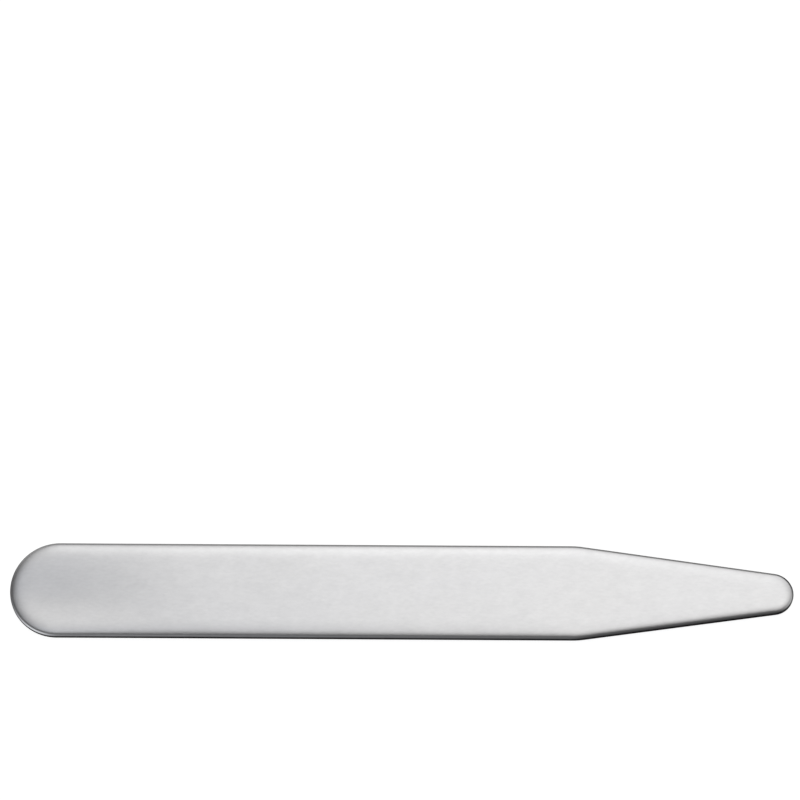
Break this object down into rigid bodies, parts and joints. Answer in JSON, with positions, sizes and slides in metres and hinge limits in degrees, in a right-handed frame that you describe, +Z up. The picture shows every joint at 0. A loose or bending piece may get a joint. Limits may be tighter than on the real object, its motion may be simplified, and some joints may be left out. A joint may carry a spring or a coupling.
{
  "type": "collar stay",
  "caption": "Flat satin steel collar stay with a round end, parallel sides and a tapering rounded point, its edges rounded along both faces.",
  "frame": {"origin": "under the middle of the stay's box, on the surface that it lies on", "axes": "+X along the stay towards its point, +Y across its width, +Z up through its thickness"},
  "size_m": [0.0762, 0.0094, 0.0011],
  "materials": {
    "steel": "satin, finely tumbled, with a faint lengthwise grain and soft polished edges"
  },
  "bodies": {
    "root": {"stay": "steel"}
  },
  "joints": []
}
